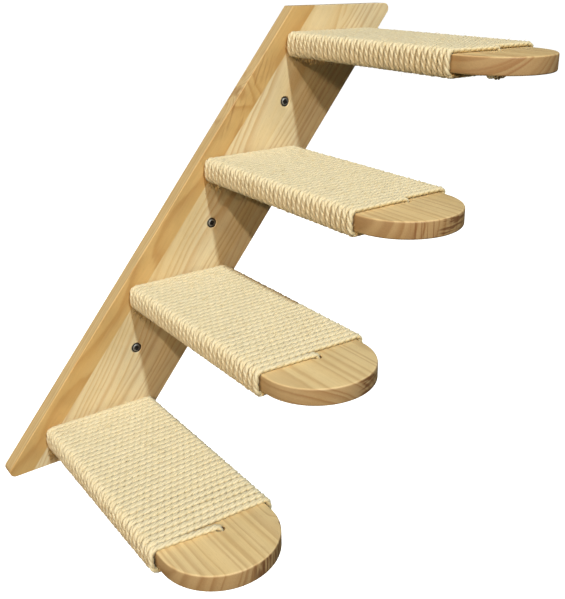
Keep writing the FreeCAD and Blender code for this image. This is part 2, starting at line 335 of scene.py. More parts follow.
def pine_figure() -> bpy.types.NodeTree:
    """Growth rings, fibres and knots of sawn pine, cut from a round log.

    Returns:
        A shader group. Place is in millimetres with X along the grain.
    """
    graph, ins, outs = open_group("Pine figure", "ShaderNodeTree", (
        Port("Place", "Vector"),
        Port("Pith", "Vector", (0.0, 40.0, 60.0)),
        Port("Ring width", "Float", 3.5),
        Port("Sway", "Float", 6.0),
        Port("Knot at", "Vector"),
        Port("Knot size", "Float", 0.0),
        Port("Seed", "Float", 0.0),
        Port("Latewood", "Float", out=True),
        Port("Streaks", "Float", out=True),
        Port("Flecks", "Float", out=True),
        Port("Tone", "Float", out=True),
        Port("Knot", "Float", out=True),
    ))
    place = ins["Place"]
    seed = graph.joined(0.0, 0.0, graph.times(ins["Seed"], 17.3))

    def stretched(along: float, across: float) -> Any:
        """Place divided by a length along the grain and one across it."""
        parts = graph.vector("MULTIPLY", place, (1 / along, 1 / across, 1 / across))
        return graph.vector("ADD", parts, seed)

    # The distance from the pith, which sways slowly along the log and wavers a little.
    slow = graph.vector("SUBTRACT", graph.noise(stretched(210, 260), 1.0, 1.0).outputs[1], (0.5, 0.5, 0.5))
    slow = graph.scaled(slow, graph.times(ins["Sway"], 3.0))
    slow = graph.vector("MULTIPLY", slow, (0.0, 1.0, 1.0))
    centred = graph.vector("SUBTRACT", graph.vector("ADD", place, slow), ins["Pith"])
    radius = graph.measured("LENGTH", graph.vector("MULTIPLY", centred, (0.0, 1.0, 1.0)))
    fine = graph.minus(graph.noise(stretched(38, 9), 1.0, 2.0).outputs[0], 0.5)
    radius = graph.plus(radius, graph.times(fine, 1.6))
    # The rings swell round the knot.
    size = graph.math("MAXIMUM", ins["Knot size"], 0.001)
    gap = graph.vector("MULTIPLY", graph.vector("SUBTRACT", place, ins["Knot at"]), (0.6, 1.0, 0.25))
    reach = graph.over(graph.measured("LENGTH", gap), size)
    swell = graph.math("EXPONENT", graph.times(graph.math("POWER", reach, 2.0), -0.35))
    radius = graph.plus(radius, graph.times(graph.times(swell, size), 2.2))
    core = graph.ranged(reach, 0.72, 0.95, 1.0, 0.0)
    graph.feed(outs["Knot"], graph.times(core, graph.math("GREATER_THAN", ins["Knot size"], 0.01)))
    # Rings of uneven width, each rising slowly to its latewood and ending sharply.
    uneven = graph.noise(graph.joined(0.0, graph.times(radius, 0.09), ins["Seed"]), 1.0, 1.0).outputs[0]
    rings = graph.over(radius, ins["Ring width"])
    rings = graph.plus(rings, graph.times(uneven, 2.6))
    share = graph.math("FRACT", rings)
    late = graph.ramp(share, ((0.0, 0.22), (0.12, 0.0), (0.5, 0.16), (0.84, 1.0), (0.93, 0.82), (1.0, 0.22)))
    graph.feed(outs["Latewood"], late)
    graph.feed(outs["Streaks"], graph.noise(stretched(42, 0.85), 1.0, 4.0, 0.62).outputs[0])
    specks = graph.noise(stretched(5.5, 0.55), 1.0, 1.0).outputs[0]
    graph.feed(outs["Flecks"], graph.ranged(specks, 0.66, 0.76, 0.0, 1.0))
    graph.feed(outs["Tone"], graph.noise(stretched(150, 26), 1.0, 3.0).outputs[0])
    return graph.tree


def end_grain() -> bpy.types.NodeTree:
    """How far a surface cuts across the grain, for sawn ends and round tips."""
    graph, ins, outs = open_group("End grain", "ShaderNodeTree", (
        Port("Grain", "Vector", (1.0, 0.0, 0.0)),
        Port("Place", "Vector"),
        Port("End", "Float", out=True),
        Port("Pores", "Float", out=True),
    ))
    normal = graph.add("ShaderNodeTexCoord").outputs["Normal"]
    turn = graph.math("ABSOLUTE", graph.measured("DOT_PRODUCT", normal, ins["Grain"]))
    graph.feed(outs["End"], graph.ranged(turn, 0.25, 0.95, 0.0, 1.0))
    graph.feed(outs["Pores"], graph.noise(ins["Place"], 1.9, 3.0, 0.7).outputs[0])
    return graph.tree


def handling_marks() -> bpy.types.NodeTree:
    """Soft blotches and small scuffs that come with handling, on any material."""
    graph, ins, outs = open_group("Handling marks", "ShaderNodeTree", (
        Port("Place", "Vector"),
        Port("Blotch size", "Float", 40.0),
        Port("Scuff size", "Float", 3.0),
        Port("Blotches", "Float", out=True),
        Port("Scuffs", "Float", out=True),
    ))
    near = graph.scaled(ins["Place"], graph.over(1.0, ins["Blotch size"]))
    graph.feed(outs["Blotches"], graph.noise(near, 1.0, 3.0).outputs[0])
    close = graph.scaled(ins["Place"], graph.over(1.0, ins["Scuff size"]))
    close = graph.vector("MULTIPLY", close, (0.35, 1.0, 1.0))
    graph.feed(outs["Scuffs"], graph.ranged(graph.noise(close, 1.0, 2.0).outputs[0], 0.62, 0.75, 0.0, 1.0))
    return graph.tree


class Groups:
    """Shader groups that several materials share, each built once."""

    def __init__(self) -> None:
        """Build the groups."""
        self.pine = pine_figure()
        self.ends = end_grain()
        self.marks = handling_marks()


# ---------------------------------------------------------------- finishes


def new_surface(name: str) -> tuple[Graph, Any, bpy.types.Material]:
    """Start a material with a Principled shader.

    Returns:
        The graph, the shader's inputs and the material.
    """
    material = bpy.data.materials.new(name)
    material.use_nodes = True
    material.node_tree.nodes.clear()
    graph = Graph(material.node_tree)
    shader = graph.add("ShaderNodeBsdfPrincipled")
    graph.add("ShaderNodeOutputMaterial", {"Surface": shader.outputs[0]})
    return graph, shader.inputs, material


@dataclass(frozen=True)
class PineFinish:
    """Oiled pine of one plank or stave, with lengths in millimetres.

    A knot is its place and radius. Heartwood streaks and stripes are on a tread's
    side faces, from one distance across it. A burl is a patch of dark checks, as its
    place along and across the stave and its half length and half width.
    """

    name: str
    centre: Vector
    pith: Triple
    early: Colour
    late: Colour
    ring_width: float
    sway: float
    contrast: float
    seed: float
    # multiplies the side faces' colour: painted light and shade, partly the darker sawn wood on a tread
    side_tint_and_painted_light: Colour
    slope: float = 0.0
    outward: bool = False
    tone: float = 0.3
    knot: Quad = (0.0, 0.0, 0.0, 0.0)
    knot_depth: float = 0.8
    heart_from: float = 200.0
    heart_scale: Triple = (0.05, 0.05, 0.4)
    stripes: tuple[float, float] | None = None
    burl: Quad | None = None
    warmth: Triple = (0.88, 0.77, 0.58)
    heart_colour: Colour = srgb(98, 58, 30)
    stripe_colour: Colour = srgb(120, 74, 38)
    check_colour: Colour = srgb(146, 98, 54)
    fleck_colour: Colour = srgb(120, 78, 40)
    knot_colour: Colour = srgb(112, 66, 34)
    pore_colour: Colour = srgb(150, 100, 54)

    def side_faces(self, graph: Graph, place: Any, colour: Any) -> Any:
        """Tint the side faces with painted light and shade, with dark heartwood streaks at one side of a tread.

        Args:
            graph: The material's graph.
            place: The wood's own coordinates in millimetres.
            colour: The colour so far.

        Returns:
            The colour with its side faces tinted.
        """
        normal = graph.add("ShaderNodeTexCoord").outputs["Normal"]
        facing = graph.add("ShaderNodeSeparateXYZ", {0: normal}).outputs[2 if self.outward else 1]
        side = graph.ranged(graph.math("ABSOLUTE", facing), 0.3, 0.85, 1.0, 0.0)
        # Painted light and shade on the side faces: a tread's are darkened, partly for its darker sawn wood;
        # the board's are lightened and cooled.
        colour = graph.blend(side, colour, self.side_tint_and_painted_light, "MULTIPLY")
        if not self.outward:
            return colour
        across = graph.add("ShaderNodeSeparateXYZ", {0: place}).outputs[1]
        heart = graph.ranged(across, self.heart_from, self.heart_from + 12.0, 0.0, 1.0)
        lines = graph.noise(graph.vector("MULTIPLY", place, self.heart_scale), 1.0, 2.0, 0.6).outputs[0]
        heart = graph.times(heart, graph.ranged(lines, 0.46, 0.58, 0.0, 0.75))
        colour = graph.blend(graph.times(heart, side), colour, self.heart_colour)
        if self.stripes is None:
            return colour
        first, last = self.stripes
        band = graph.ranged(across, first, first + 3.0, 0.0, 1.0)
        band = graph.times(band, graph.ranged(across, last, last + 3.0, 1.0, 0.0))
        bars = graph.noise(graph.vector("MULTIPLY", place, (0.0, 0.42, 0.012)), 1.0, 1.0).outputs[0]
        bars = graph.times(graph.ranged(bars, 0.5, 0.6, 0.0, 0.6), band)
        return graph.blend(graph.times(bars, side), colour, self.stripe_colour)

    def checks(self, graph: Graph, place: Any, colour: Any) -> Any:
        """Add short dark checks in the burl's patch of swirled wood."""
        along, across, length, width = self.burl
        gap = graph.vector("SUBTRACT", place, (along, 0.0, across))
        gap = graph.vector("MULTIPLY", gap, (1 / length, 0.0, 1 / width))
        patch = graph.ranged(graph.measured("LENGTH", gap), 0.45, 1.0, 1.0, 0.0)
        swirl = graph.vector("MULTIPLY", graph.turned(place, "Y_AXIS", 0.3), (0.022, 0.1, 0.2))
        dark = graph.ranged(graph.noise(swirl, 1.0, 3.0, 0.55).outputs[0], 0.48, 0.68, 0.0, 0.5)
        return graph.blend(graph.times(patch, dark), colour, self.check_colour)

    def grain(self) -> Vector:
        """Direction of the grain."""
        if self.outward:
            return Vector((0.0, -1.0, 0.0))
        return Vector((math.cos(self.slope), 0.0, math.sin(self.slope)))

    def build(self, groups: Groups) -> bpy.types.Material:
        """Make the material.

        Args:
            groups: The shared shader groups.

        Returns:
            The material.
        """
        graph, shader, material = new_surface(self.name)
        place = graph.add("ShaderNodeTexCoord").outputs["Object"]
        place = graph.scaled(graph.vector("SUBTRACT", place, tuple(self.centre)), 1 / MM)
        axis = "Z_AXIS" if self.outward else "Y_AXIS"
        angle = math.pi / 2 if self.outward else self.slope
        place = graph.turned(place, axis, angle)
        out = graph.group(
            groups.pine, Place=place, Pith=self.pith, Ring_width=self.ring_width, Sway=self.sway,
            Seed=self.seed, Knot_at=self.knot[:3], Knot_size=self.knot[3],
        )
        ends = graph.group(groups.ends, Grain=tuple(self.grain()), Place=place)
        marks = graph.group(groups.marks, Place=place)
        depth = graph.ranged(ends["End"], 0.0, 1.0, self.contrast, min(1.0, self.contrast * 1.5), False)
        colour = graph.blend(graph.times(out["Latewood"], depth), self.early, self.late)
        warm = tuple(a * b for a, b in zip(self.early, self.warmth))
        colour = graph.blend(graph.ranged(out["Tone"], 0.35, 0.75, 0.0, self.tone), colour, warm)
        fibre = graph.ranged(out["Streaks"], 0.25, 0.75, 0.91, 1.06, False)
        colour = graph.blend(1.0, colour, graph.joined(fibre, fibre, fibre), "MULTIPLY")
        colour = graph.blend(graph.times(out["Flecks"], 0.22), colour, self.fleck_colour)
        colour = graph.blend(graph.times(out["Knot"], self.knot_depth), colour, self.knot_colour)
        worn = graph.ranged(marks["Blotches"], 0.3, 0.7, 0.94, 1.05, False)
        colour = graph.blend(1.0, colour, graph.joined(worn, worn, worn), "MULTIPLY")
        pores = graph.times(ends["End"], graph.ranged(ends["Pores"], 0.35, 0.7, 0.1, 0.34))
        colour = graph.blend(pores, colour, self.pore_colour)
        if self.burl:
            colour = self.checks(graph, place, colour)
        graph.feed(shader["Base Color"], self.side_faces(graph, place, colour))
        rough = graph.math("MULTIPLY_ADD", out["Latewood"], -0.1, 0.56)
        graph.feed(shader["Roughness"], graph.math("MULTIPLY_ADD", marks["Scuffs"], 0.12, rough))
        height = graph.math("MULTIPLY_ADD", out["Latewood"], 0.6, out["Streaks"])
        height = graph.minus(height, graph.times(out["Flecks"], 0.5))
        bump = graph.add("ShaderNodeBump", {"Height": height, "Strength": 0.35, "Distance": 0.0003})
        graph.feed(shader["Normal"], bump.outputs[0])
        shader["Specular IOR Level"].default_value = 0.35
        return material


@dataclass(frozen=True)
class SisalFinish:
    """Laid sisal rope, with fibres that run along each strand and painted shade deep in its grooves."""

    name: str = "Sisal rope"
    light: Colour = srgb(234, 225, 198)
    straw: Colour = srgb(215, 202, 165)
    # painted shade, deep in the rope's grooves between turns and strands
    shade: Colour = srgb(198, 178, 130)

    def build(self, groups: Groups) -> bpy.types.Material:
        """Make the material from the rope's own attributes."""
        graph, shader, material = new_surface(self.name)
        ring = graph.add("ShaderNodeAttribute", attribute_name="rope_ring").outputs["Vector"]
        along = graph.add("ShaderNodeAttribute", attribute_name="rope_along").outputs["Fac"]
        depth = graph.add("ShaderNodeAttribute", attribute_name="rope_depth").outputs["Fac"]
        along = graph.over(along, MM)
        turned = graph.turned(ring, "Z_AXIS", graph.times(along, 0.16))
        lengthways = graph.joined(0.0, 0.0, graph.times(along, 0.075))
        thread = graph.vector("ADD", graph.vector("MULTIPLY", turned, (4.6, 4.6, 0.0)), lengthways)
        fibres = graph.noise(thread, 1.0, 4.0, 0.65).outputs[0]
        hanks = graph.noise(graph.joined(0.0, 0.0, graph.times(along, 0.021)), 1.0, 2.0).outputs[0]
        marks = graph.group(groups.marks, Place=graph.own_place(), Blotch_size=28.0)
        colour = graph.blend(graph.ranged(fibres, 0.3, 0.72, 0.0, 1.0), self.straw, self.light)
        colour = graph.blend(graph.ranged(hanks, 0.4, 0.75, 0.0, 0.5), colour, self.straw)
        colour = graph.blend(graph.ranged(marks["Blotches"], 0.55, 0.8, 0.0, 0.35), colour, self.straw)
        # Painted shade: the deeper a point lies in the rope, the darker it is.
        colour = graph.blend(graph.ranged(depth, -0.3, 0.6, 0.85, 0.0), colour, self.shade)
        graph.feed(shader["Base Color"], colour)
        graph.feed(shader["Roughness"], graph.math("MULTIPLY_ADD", fibres, 0.25, 0.5))
        bump = graph.add("ShaderNodeBump", {"Height": fibres, "Strength": 0.55, "Distance": 0.0004})
        graph.feed(shader["Normal"], bump.outputs[0])
        shader["Sheen Weight"].default_value = 0.2
        shader["Specular IOR Level"].default_value = 0.3
        return material


@dataclass(frozen=True)
class FibreFinish:
    """Loose sisal fibres."""

    name: str = "Loose sisal fibre"
    light: Colour = srgb(246, 234, 196)
    dark: Colour = srgb(206, 180, 124)

    def build(self, groups: Groups) -> bpy.types.Material:
        """Make the material."""
        graph, shader, material = new_surface(self.name)
        marks = graph.group(groups.marks, Place=graph.own_place(), Blotch_size=5.0)
        colour = graph.blend(graph.ranged(marks["Blotches"], 0.35, 0.65, 0.0, 1.0), self.light, self.dark)
        graph.feed(shader["Base Color"], colour)
        graph.feed(shader["Roughness"], graph.math("MULTIPLY_ADD", marks["Scuffs"], 0.2, 0.5))
        return material


@dataclass(frozen=True)
class SteelFinish:
    """Plated or blackened screw steel, a little scuffed, with a painted highlight on each head's raised dome.
    """

    name: str
    base: Colour
    # paler steel for scuffs, and for the painted highlight on the heads' domes
    paler_steel: Colour
    metal: float
    rough: float

    def build(self, groups: Groups) -> bpy.types.Material:
        """Make the material."""
        graph, shader, material = new_surface(self.name)
        place = graph.own_place()
        marks = graph.group(groups.marks, Place=place, Blotch_size=4.0, Scuff_size=0.9)
        crystal = graph.noise(place, 1.4, 3.0, 0.6).outputs[0]
        scuffs_and_highlight = graph.times(marks["Scuffs"], 0.7)
        # The head's raised dome is painted paler as a painted highlight, added to the scuffs.
        raised = graph.add("ShaderNodeAttribute", attribute_name="paler_steel").outputs["Fac"]
        scuffs_and_highlight = graph.math("MAXIMUM", scuffs_and_highlight, graph.times(raised, 0.8))
        colour = graph.blend(scuffs_and_highlight, self.base, self.paler_steel)
        colour = graph.blend(graph.ranged(marks["Blotches"], 0.5, 0.8, 0.0, 0.35), colour, self.paler_steel)
        graph.feed(shader["Base Color"], colour)
        graph.feed(shader["Roughness"], graph.math("MULTIPLY_ADD", crystal, 0.22, self.rough))
        shader["Metallic"].default_value = self.metal
        bump = graph.add("ShaderNodeBump", {"Height": crystal, "Strength": 0.2, "Distance": 0.0001})
        graph.feed(shader["Normal"], bump.outputs[0])
        return material


# ---------------------------------------------------------------- geometry trees


def rope_lay_tree() -> bpy.types.NodeTree:
    """Strands laid round a line, for a winding or a knot.

    Returns:
        A geometry tree that takes a chain of edges and gives the rope's mesh.
    """
    graph, ins, outs = open_group("Rope lay", "GeometryNodeTree", (
        Port("Geometry", "Geometry", out=True),
        Port("Geometry", "Geometry"),
        Port("Strands", "Int", 3),
        Port("Lay length", "Float", 0.02),
        Port("Spread along", "Float", 0.0021),
        Port("Spread out", "Float", 0.0014),
        Port("Strand radius", "Float", 0.0017),
        Port("Step", "Float", 0.0026),
        Port("Held axis", "Vector", (0.0, -1.0, 0.0)),
        Port("Held", "Bool", True),
        Port("Unevenness", "Float", 0.15),
        Port("Seed", "Int", 0),
        Port("Finish", "Material"),
    ))
    line = graph.add("GeometryNodeMeshToCurve", {"Mesh": ins["Geometry"]}).outputs[0]
    feeds = {"Curve": line, "Length": ins["Step"]}
    line = graph.add("GeometryNodeResampleCurve", feeds, mode="LENGTH").outputs[0]
    spot = graph.add("GeometryNodeInputPosition").outputs[0]
    run = graph.add("GeometryNodeInputTangent").outputs[0]
    length = graph.add("GeometryNodeSplineParameter").outputs["Length"]
    # A side and an up for the line: held square to an axis, or the curve's own.
    across = graph.measured("DOT_PRODUCT", ins["Held axis"], run)
    held = graph.vector("NORMALIZE", graph.vector("SUBTRACT", ins["Held axis"], graph.scaled(run, across)))
    free = graph.add("GeometryNodeInputNormal").outputs[0]
    feeds = {"Switch": ins["Held"], "False": free, "True": held}
    side = graph.add("GeometryNodeSwitch", feeds, input_type="VECTOR").outputs[0]
    up = graph.vector("CROSS_PRODUCT", run, side)
    for name, value in (("rope_core", spot), ("rope_run", run), ("rope_up", up)):
        line = graph.stored(line, name, value, "FLOAT_VECTOR")
    line = graph.stored(line, "rope_along", length)
    feeds = {"Geometry": line, "Amount": ins["Strands"]}
    copies = graph.add("GeometryNodeDuplicateElements", feeds, domain="SPLINE")
    # Each strand turns round the line with the lay, a little unevenly.
    shift = graph.times(ins["Seed"], 3.7)
    wave = graph.joined(graph.times(length, 22.0), shift, copies.outputs["Duplicate Index"])
    wave = graph.noise(wave, 1.0, 1.0).outputs
    angle = graph.over(graph.times(length, math.tau), ins["Lay length"])
    start = graph.over(math.tau, ins["Strands"])
    angle = graph.plus(angle, graph.times(start, copies.outputs["Duplicate Index"]))
    stray = graph.times(graph.minus(wave[0], 0.5), ins["Unevenness"])
    angle = graph.plus(angle, graph.times(stray, 4.0))
    over = graph.times(graph.math("COSINE", angle), ins["Spread along"])
    out = graph.times(graph.math("SINE", angle), ins["Spread out"])
    move = graph.vector("ADD", graph.scaled(side, over), graph.scaled(up, out))
    strands = graph.add("GeometryNodeSetPosition", {"Geometry": copies.outputs[0], "Offset": move}).outputs[0]
    girth = graph.plus(1.0, stray)
    strands = graph.add("GeometryNodeSetCurveRadius", {"Curve": strands, "Radius": girth}).outputs[0]
    feeds = {"Resolution": 6, "Radius": ins["Strand radius"]}
    ring = graph.add("GeometryNodeCurvePrimitiveCircle", feeds).outputs[0]
    unit = graph.scaled(spot, graph.over(1.0, ins["Strand radius"]))
    ring = graph.stored(ring, "rope_ring", unit, "FLOAT_VECTOR")
    feeds = {"Curve": strands, "Profile Curve": ring, "Fill Caps": True}
    body = graph.add("GeometryNodeCurveToMesh", feeds).outputs[0]
    core, lift = (
        graph.add("GeometryNodeInputNamedAttribute", {"Name": name}, data_type="FLOAT_VECTOR").outputs[0]
        for name in ("rope_core", "rope_up")
    )
    # How deep each point lies in the rope, for the painted shade in its grooves.
    reach = graph.plus(ins["Spread out"], ins["Strand radius"])
    height = graph.measured("DOT_PRODUCT", graph.vector("SUBTRACT", core, spot), lift)
    feeds = {"Switch": ins["Held"], "False": graph.measured("DISTANCE", spot, core), "True": height}
    depth = graph.add("GeometryNodeSwitch", feeds, input_type="FLOAT").outputs[0]
    body = graph.stored(body, "rope_depth", graph.over(depth, reach))
    body = graph.add("GeometryNodeSetShadeSmooth", {"Geometry": body}).outputs[0]
    graph.delivered(body, ins["Finish"], outs["Geometry"])
    return graph.tree


def loose_fibre_tree() -> bpy.types.NodeTree:
    """Short fibres that stand off a rope, bent and lying mostly along it."""
    graph, ins, outs = open_group("Loose fibres", "GeometryNodeTree", (
        Port("Geometry", "Geometry", out=True),
        Port("Geometry", "Geometry"),
        Port("Density", "Float", 20000.0),
        Port("Length", "Float", 0.008),
        Port("Thickness", "Float", 0.00012),
        Port("Lift", "Float", 0.45),
        Port("Seed", "Int", 0),
        Port("Finish", "Material"),
    ))
    feeds = {"Mesh": ins["Geometry"], "Density": ins["Density"], "Seed": ins["Seed"]}
    roots = graph.add("GeometryNodeDistributePointsOnFaces", feeds, distribute_method="RANDOM")
    feeds = {
        "Resolution": 3, "Start": (0.0, 0.0, 0.0), "Middle": (0.0, 0.0, 0.55), "End": (0.28, 0.1, 0.95),
    }
    hair = graph.add("GeometryNodeCurveQuadraticBezier", feeds).outputs[0]
    taper = graph.add("GeometryNodeSplineParameter").outputs["Factor"]
    taper = graph.ranged(taper, 0.0, 1.0, 1.0, 0.35, False)
    hair = graph.add("GeometryNodeSetCurveRadius", {"Curve": hair, "Radius": taper}).outputs[0]
    girth = graph.over(ins["Thickness"], ins["Length"])
    ring = graph.add("GeometryNodeCurvePrimitiveCircle", {"Resolution": 3, "Radius": girth}).outputs[0]
    hair = graph.add("GeometryNodeCurveToMesh", {"Curve": hair, "Profile Curve": ring}).outputs[0]
    feeds = {"Name": "rope_run"}
    run = graph.add("GeometryNodeInputNamedAttribute", feeds, data_type="FLOAT_VECTOR").outputs[0]

    def chance(kind: str, low: Any, high: Any, salt: int) -> Any:
        """A random number or vector for each fibre."""
        first = 0 if kind == "FLOAT_VECTOR" else 2
        node = graph.add("FunctionNodeRandomValue", {first: low, first + 1: high}, data_type=kind)
        graph.feed(node.inputs["Seed"], graph.plus(ins["Seed"], float(salt)))
        return node.outputs[0 if kind == "FLOAT_VECTOR" else 1]

    lying = graph.scaled(run, chance("FLOAT", 0.2, 1.0, 1))
    rising = graph.scaled(roots.outputs["Normal"], graph.times(chance("FLOAT", 0.2, 1.0, 2), ins["Lift"]))
    stray = chance("FLOAT_VECTOR", (-0.35, -0.35, -0.35), (0.35, 0.35, 0.35), 3)
    aim = graph.vector("ADD", graph.vector("ADD", lying, rising), stray)
    turn = graph.add("FunctionNodeAlignRotationToVector", {"Vector": aim}, axis="Z").outputs[0]
    size = graph.times(chance("FLOAT", 0.35, 1.3, 4), ins["Length"])
    size = graph.joined(size, size, size)
    feeds = {"Points": roots.outputs[0], "Instance": hair, "Rotation": turn, "Scale": size}
    tufts = graph.add("GeometryNodeInstanceOnPoints", feeds).outputs[0]
    graph.delivered(tufts, ins["Finish"], outs["Geometry"])
    return graph.tree


def wood_screw_tree() -> bpy.types.NodeTree:
    """Countersunk cross-recess wood screws with a real thread, one at each point."""
    graph, ins, outs = open_group("Wood screws", "GeometryNodeTree", (
        Port("Geometry", "Geometry", out=True),
        Port("Geometry", "Geometry"),
        Port("Head radius", "Float", 0.006),
        Port("Rim", "Float", 0.0005),
        Port("Dome", "Float", 0.0006),
        Port("Shank radius", "Float", 0.00215),
        Port("Plain length", "Float", 0.0177),
        Port("Thread radius", "Float", 0.003),
        Port("Thread length", "Float", 0.036),
        Port("Thread pitch", "Float", 0.0026),
        Port("Point length", "Float", 0.006),
        Port("Recess span", "Float", 0.0062),
        Port("Recess slot", "Float", 0.0012),
        Port("Recess depth", "Float", 0.0026),
        Port("Lean", "Float", -math.pi / 2),
        Port("Seed", "Int", 0),
        Port("Finish", "Material"),
    ))

    def lifted(body: Any, height: Any) -> Any:
        """Move a part of the screw along its axis."""
        feeds = {"Geometry": body, "Translation": graph.joined(0.0, 0.0, height)}
        return graph.add("GeometryNodeTransform", feeds).outputs[0]

    def tapered(sides: int, near: Any, far: Any, depth: Any) -> Any:
        """A closed cone or cylinder that stands on its near end."""
        feeds = {"Vertices": sides, "Radius Top": far, "Radius Bottom": near, "Depth": depth}
        return graph.add("GeometryNodeMeshCone", feeds, fill_type="NGON").outputs[0]

    head, shank, rim = ins["Head radius"], ins["Shank radius"], ins["Rim"]
    core = graph.times(ins["Thread radius"], 0.66)
    crown = tapered(40, graph.times(head, 0.965), head, graph.times(rim, 0.4))
    edge = lifted(tapered(40, head, head, graph.times(rim, 0.6)), graph.times(rim, 0.4))
    cone = lifted(tapered(40, head, shank, graph.minus(head, shank)), rim)
    # The raised dome is marked to be painted paler: a painted highlight on the head.
    raised = tapered(40, graph.times(head, 0.6), graph.times(head, 0.76), ins["Dome"])
    raised = graph.stored(lifted(raised, graph.times(ins["Dome"], -1.0)), "paler_steel", 1.0)
    # The cross recess: two slots and a cone, cut out of every part of the head.
    span, slot = ins["Recess span"], ins["Recess slot"]
    deep = graph.times(ins["Recess depth"], 2.0)
    boxes = []
    for size in (graph.joined(span, slot, deep), graph.joined(slot, span, deep)):
        boxes.append(graph.add("GeometryNodeMeshCube", {"Size": size}).outputs[0])
    boxes.append(tapered(12, graph.times(span, 0.3), graph.times(slot, 0.4), ins["Recess depth"]))
    parts = []
    for body in (raised, crown, edge, cone):
        cut = graph.add("GeometryNodeMeshBoolean", {"Mesh 1": body}, operation="DIFFERENCE", solver="EXACT")
        for box in boxes:
            graph.tree.links.new(box, cut.inputs["Mesh 2"])
        parts.append(cut.outputs[0])
    parts.append(lifted(tapered(20, shank, shank, graph.minus(ins["Plain length"], rim)), rim))
    thread_end = graph.plus(ins["Plain length"], ins["Thread length"])
    parts.append(lifted(tapered(16, core, core, ins["Thread length"]), ins["Plain length"]))
    parts.append(lifted(tapered(16, core, 0.0001, ins["Point length"]), thread_end))
    # The thread: a pointed tooth swept along a helix round the core.
    feeds = {
        "Resolution": 14, "Rotations": graph.over(ins["Thread length"], ins["Thread pitch"]),
        "Start Radius": core, "End Radius": core, "Height": ins["Thread length"],
    }
    helix = graph.add("GeometryNodeCurveSpiral", feeds).outputs[0]
    helix = graph.add("GeometryNodeSetCurveNormal", {"Curve": helix}, mode="Z_UP").outputs[0]
    feeds = {"Resolution": 4, "Radius": graph.minus(ins["Thread radius"], core)}
    tooth = graph.add("GeometryNodeCurvePrimitiveCircle", feeds).outputs[0]
    tooth = graph.add("GeometryNodeTransform", {"Geometry": tooth, "Scale": (1.0, 0.55, 1.0)}).outputs[0]
    helix = graph.add("GeometryNodeCurveToMesh", {"Curve": helix, "Profile Curve": tooth, "Fill Caps": True})
    parts.append(lifted(helix.outputs[0], ins["Plain length"]))
    whole = graph.add("GeometryNodeJoinGeometry")
    for part in parts:
        graph.tree.links.new(part, whole.inputs[0])
    # Each screw stands along its way in and stops at its own turn.
    spin = graph.add("FunctionNodeRandomValue", {2: 0.0, 3: math.tau}, data_type="FLOAT")
    graph.feed(spin.inputs["Seed"], ins["Seed"])
    stand = graph.joined(ins["Lean"], 0.0, 0.0)
    feeds = {"Points": ins["Geometry"], "Instance": whole.outputs[0], "Rotation": stand}
    placed = graph.add("GeometryNodeInstanceOnPoints", feeds).outputs[0]
    feeds = {"Instances": placed, "Rotation": graph.joined(0.0, 0.0, spin.outputs[1]), "Local Space": True}
    placed = graph.add("GeometryNodeRotateInstances", feeds).outputs[0]
    graph.delivered(placed, ins["Finish"], outs["Geometry"])
    return graph.tree


# ---------------------------------------------------------------- sub-assemblies


@dataclass
class BackBoard:
    """The leaning board of edge-glued staves, whose CAD shape is kept."""

    frame: dict[str, Any]
    groups: Groups
    honey: Colour = srgb(210, 176, 118)
    pale: Colour = srgb(226, 209, 170)
    brown: Colour = srgb(170, 118, 62)
    tan: Colour = srgb(190, 144, 88)
    # the staves' side faces painted lighter and cooler: painted light
    side_tint_and_painted_light: Colour = (1.1, 1.3, 1.75)

    def stave(self, number: int, turn: float, **looks: Any) -> PineFinish:
        """One stave's finish, with its grain turned a little from the board's slope.

        Args:
            number: The stave's number, from left to right.
            turn: The turn of its grain in radians.
            looks: What sets this stave apart, by the finish's own names.

        Returns:
            The finish.
        """
        looks = {"early": self.pale, "late": self.tan, "ring_width": 4.4, **looks}
        return PineFinish(
            f"Pine stave {number}", Vector((0.0, -9.0 * MM, 0.0)), seed=float(number),
            side_tint_and_painted_light=self.side_tint_and_painted_light, slope=math.atan2(1.0, LEAN) + turn, **looks,
        )

    def finishes(self) -> list[PineFinish]:
        """The four staves' finishes, from left to right."""
        return [
            self.stave(
                1, 0.0, pith=(0.0, 150.0, 30.0), early=self.honey, late=self.brown, sway=7.0, contrast=0.5,
                tone=0.45, knot=(150.0, 0.0, 56.0, 6.0), knot_depth=0.25, burl=(152.0, 52.0, 78.0, 26.0),
            ),
            self.stave(2, 0.13, pith=(0.0, 62.0, -20.0), ring_width=4.6, sway=8.0, contrast=0.52, tone=0.6),
            self.stave(3, 0.04, pith=(0.0, 80.0, 30.0), late=self.brown, sway=6.0, contrast=0.42, tone=0.5),
            self.stave(4, 0.0, pith=(0.0, 90.0, 10.0), sway=5.0, contrast=0.36),
        ]

    def dress(self) -> None:
        """Give each stave its own wood."""
        for number, finish in enumerate(self.finishes(), 1):
            node = self.frame["nodes"][f"backboard_stave_{number}"]
            material = finish.build(self.groups)
            node.data.materials.clear()
            node.data.materials.append(material)
            LOG.info("backboard_stave_%d: %s", number, material.name)


@dataclass
class RopeSizes:
    """Laid sisal rope as it lies on a tread.

    Its side bow is the slack at a side face, a fan is how far its last turns spread
    out, and its bend is the radius of its way down the hole.
    """

    width: float = 7.9 * MM
    rise: float = 5.9 * MM
    seat_gap: float = 0.15 * MM
    strand_radius: float = 2.05 * MM
    lay_length: float = -22.5 * MM
    step: float = 2.5 * MM
    full_turns: int = 33
    first: float = 4.2 * MM
    last: float = 267.0 * MM
    fan: float = 2.0 * MM
    fan_turns: int = 7
    hole: float = 271.5 * MM
    hole_across: float = 4.0 * MM
    between: float = 0.1 * MM
    side_bow: float = 1.6 * MM
    bow_power: float = 0.67
    waver: float = 0.4 * MM
    bend: float = 4.5 * MM


@dataclass(frozen=True)
class Fray:
    """The rope's frayed first end: its middle's place, its length and how far it hangs."""

    at: float
    length: float
    drop: float
    count: int = 130


